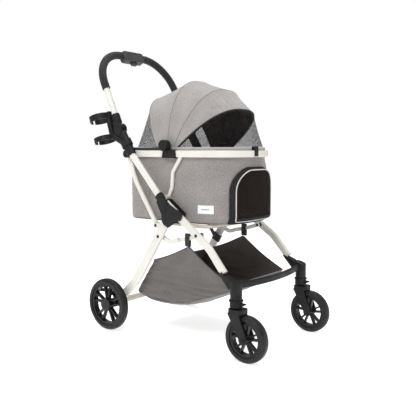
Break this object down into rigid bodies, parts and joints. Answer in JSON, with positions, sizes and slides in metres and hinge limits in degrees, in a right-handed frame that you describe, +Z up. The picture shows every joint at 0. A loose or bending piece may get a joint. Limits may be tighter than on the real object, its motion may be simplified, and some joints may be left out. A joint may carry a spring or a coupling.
{
  "type": "pet stroller",
  "caption": "Folding pet stroller with a fabric cabin, fan canopy, mesh windows, front door, storage basket, cup holder and swivelling front wheels.",
  "frame": {"origin": "on the floor, midway between the front and rear ends and between the two sides", "axes": "+X forward, +Y to the stroller's left, +Z up"},
  "size_m": [0.7894, 0.484, 1.0467],
  "materials": {
    "frame_tube": "satin ivory paint",
    "black_plastic": "fine moulded grain",
    "rivet_black": "black painted heads",
    "tyre_rubber": "satin solid tyre",
    "fabric_grey": "grey melange weave",
    "fabric_basket": "grey melange weave, worn softer",
    "fabric_lining": "dark plush lining",
    "mesh_black": "open knit mesh",
    "webbing_black": "ribbed webbing",
    "grip_foam": "dense foam",
    "bow_plastic": "plain"
  },
  "bodies": {
    "front_frame": {"front_legs": "frame_tube", "hub_plates": "black_plastic", "caster_housings": "black_plastic", "front_cross_bar": "black_plastic", "front_rivets": "rivet_black", "basket": "fabric_basket", "basket_straps": "webbing_black"},
    "push_frame": {"push_tubes": "frame_tube", "hub_covers": "black_plastic", "lower_sleeves": "black_plastic", "rail": "frame_tube", "rail_brackets": "black_plastic", "side_braces": "frame_tube", "base_support": "frame_tube", "cup_holder": "black_plastic", "cabin_shell": "fabric_grey", "cabin_mat": "fabric_lining", "rim_band": "fabric_grey", "front_clip": "black_plastic"},
    "door": {"front_door": "mesh_black"},
    "handle": {"handle_tube": "frame_tube", "handle_sockets": "black_plastic", "grip": "grip_foam", "release_housing": "black_plastic"},
    "trigger": {"release_trigger": "black_plastic"},
    "strut_pair": {"struts": "frame_tube"},
    "rear_frame": {"rear_legs": "frame_tube", "rear_axle": "frame_tube", "axle_brackets": "black_plastic", "strut_tabs": "frame_tube", "rear_rivets": "rivet_black", "fold_strap": "webbing_black"},
    "rear_link_pair": {"rear_links": "frame_tube"},
    "front_link_pair": {"front_links": "frame_tube"},
    "canopy_rear_bow": {"bow_rear": "bow_plastic", "mesh_rear": "mesh_black"},
    "canopy_mid_rear_bow": {"bow_mid_rear": "bow_plastic", "canopy_rear": "fabric_grey"},
    "canopy_mid_front_bow": {"bow_mid_front": "bow_plastic", "canopy_middle": "fabric_grey"},
    "canopy_front_bow": {"bow_front": "bow_plastic", "canopy_front": "fabric_grey", "mesh_front": "mesh_black"},
    "caster_left": {"caster_fork_left": "black_plastic"},
    "front_wheel_left": {"front_rim_left": "black_plastic", "front_tyre_left": "tyre_rubber"},
    "rear_wheel_left": {"rear_rim_left": "black_plastic", "rear_tyre_left": "tyre_rubber", "rear_hub_cap_left": "black_plastic"},
    "swivel_lock_left": {"swivel_lock_left": "black_plastic"},
    "brake_left": {"brake_pedal_left": "black_plastic"},
    "caster_right": {"caster_fork_right": "black_plastic"},
    "front_wheel_right": {"front_rim_right": "black_plastic", "front_tyre_right": "tyre_rubber"},
    "rear_wheel_right": {"rear_rim_right": "black_plastic", "rear_tyre_right": "tyre_rubber", "rear_hub_cap_right": "black_plastic"},
    "swivel_lock_right": {"swivel_lock_right": "black_plastic"},
    "brake_right": {"brake_pedal_right": "black_plastic"}
  },
  "joints": [
    {"name": "frame_fold", "type": "hinge", "parent": "front_frame", "child": "push_frame", "pos_m": [-0.03, 0, 0.48], "axis": [0, -1, 0], "range_deg": [0, 32], "deforming": ["basket", "basket_straps"]},
    {"name": "rear_leg_fold", "type": "hinge", "parent": "front_frame", "child": "rear_frame", "pos_m": [-0.025, 0, 0.424], "axis": [0, -1, 0], "range_deg": [0, 50.53]},
    {"name": "strut_turn", "type": "hinge", "parent": "push_frame", "child": "strut_pair", "pos_m": [-0.214, 0, 0.65], "axis": [0, 1, 0], "range_deg": [0, 5.15]},
    {"name": "front_link_turn", "type": "hinge", "parent": "front_frame", "child": "front_link_pair", "pos_m": [0.112, 0, 0.382], "axis": [0, -1, 0], "range_deg": [0, 35.9]},
    {"name": "rear_link_turn", "type": "hinge", "parent": "rear_frame", "child": "rear_link_pair", "pos_m": [-0.062, 0, 0.364], "axis": [0, 1, 0], "range_deg": [0, 94.06]},
    {"name": "handle_fold", "type": "hinge", "parent": "push_frame", "child": "handle", "pos_m": [-0.241, 0, 0.738], "axis": [0, 1, 0], "range_deg": [0, 70]},
    {"name": "release_squeeze", "type": "slide", "parent": "handle", "child": "trigger", "axis": [-0.4226, 0, 0.9063], "range_m": [0, 0.005], "stiffness_N_per_m": 300, "springref_m": -0.002},
    {"name": "canopy_fold", "type": "hinge", "parent": "push_frame", "child": "canopy_rear_bow", "pos_m": [-0.037, 0, 0.679], "axis": [0, -1, 0], "range_deg": [0, 41], "deforming": ["mesh_rear"]},
    {"name": "canopy_mid_rear_fold", "type": "hinge", "parent": "canopy_rear_bow", "child": "canopy_mid_rear_bow", "pos_m": [-0.037, 0, 0.679], "axis": [0, -1, 0], "range_deg": [0, 24.6], "deforming": ["canopy_rear"]},
    {"name": "canopy_mid_front_fold", "type": "hinge", "parent": "canopy_mid_rear_bow", "child": "canopy_mid_front_bow", "pos_m": [-0.037, 0, 0.679], "axis": [0, -1, 0], "range_deg": [0, 20.5], "deforming": ["canopy_middle"]},
    {"name": "canopy_front_fold", "type": "hinge", "parent": "canopy_mid_front_bow", "child": "canopy_front_bow", "pos_m": [-0.037, 0, 0.679], "axis": [0, -1, 0], "range_deg": [0, 20.5], "deforming": ["canopy_front", "mesh_front"]},
    {"name": "door_open", "type": "hinge", "parent": "push_frame", "child": "door", "pos_m": [0.2045, 0, 0.4165], "axis": [0, 1, 0], "range_deg": [0, 110]},
    {"name": "caster_swivel_left", "type": "hinge", "parent": "front_frame", "child": "caster_left", "pos_m": [0.278, 0.207, 0.17], "axis": [0, 0, 1], "continuous": true},
    {"name": "front_wheel_spin_left", "type": "hinge", "parent": "caster_left", "child": "front_wheel_left", "pos_m": [0.318, 0.207, 0.076], "axis": [0, 1, 0], "continuous": true},
    {"name": "rear_wheel_spin_left", "type": "hinge", "parent": "rear_frame", "child": "rear_wheel_left", "pos_m": [-0.288, 0.224, 0.095], "axis": [0, 1, 0], "continuous": true},
    {"name": "swivel_lock_lift_left", "type": "hinge", "parent": "front_frame", "child": "swivel_lock_left", "pos_m": [0.2945, 0.207, 0.183], "axis": [0, -1, 0], "range_deg": [0, 20]},
    {"name": "brake_press_left", "type": "hinge", "parent": "rear_frame", "child": "brake_left", "pos_m": [-0.3049, 0.196, 0.12679], "axis": [0, -1, 0], "range_deg": [0, 22]},
    {"name": "caster_swivel_right", "type": "hinge", "parent": "front_frame", "child": "caster_right", "pos_m": [0.278, -0.207, 0.17], "axis": [0, 0, 1], "continuous": true},
    {"name": "front_wheel_spin_right", "type": "hinge", "parent": "caster_right", "child": "front_wheel_right", "pos_m": [0.318, -0.207, 0.076], "axis": [0, 1, 0], "continuous": true},
    {"name": "rear_wheel_spin_right", "type": "hinge", "parent": "rear_frame", "child": "rear_wheel_right", "pos_m": [-0.288, -0.224, 0.095], "axis": [0, 1, 0], "continuous": true},
    {"name": "swivel_lock_lift_right", "type": "hinge", "parent": "front_frame", "child": "swivel_lock_right", "pos_m": [0.2945, -0.207, 0.183], "axis": [0, -1, 0], "range_deg": [0, 20]},
    {"name": "brake_press_right", "type": "hinge", "parent": "rear_frame", "child": "brake_right", "pos_m": [-0.3049, -0.196, 0.12679], "axis": [0, -1, 0], "range_deg": [0, 22]}
  ],
  "couplings": [
    {"joint": "rear_leg_fold", "follows": "frame_fold", "ratio": 1.5636},
    {"joint": "strut_turn", "follows": "frame_fold", "ratio": 0.14521},
    {"joint": "front_link_turn", "follows": "frame_fold", "ratio": 1.1062},
    {"joint": "rear_link_turn", "follows": "frame_fold", "ratio": 2.9236},
    {"joint": "canopy_mid_rear_fold", "follows": "canopy_fold", "ratio": 0.59},
    {"joint": "canopy_mid_front_fold", "follows": "canopy_fold", "ratio": 0.49},
    {"joint": "canopy_front_fold", "follows": "canopy_fold", "ratio": 0.49}
  ]
}
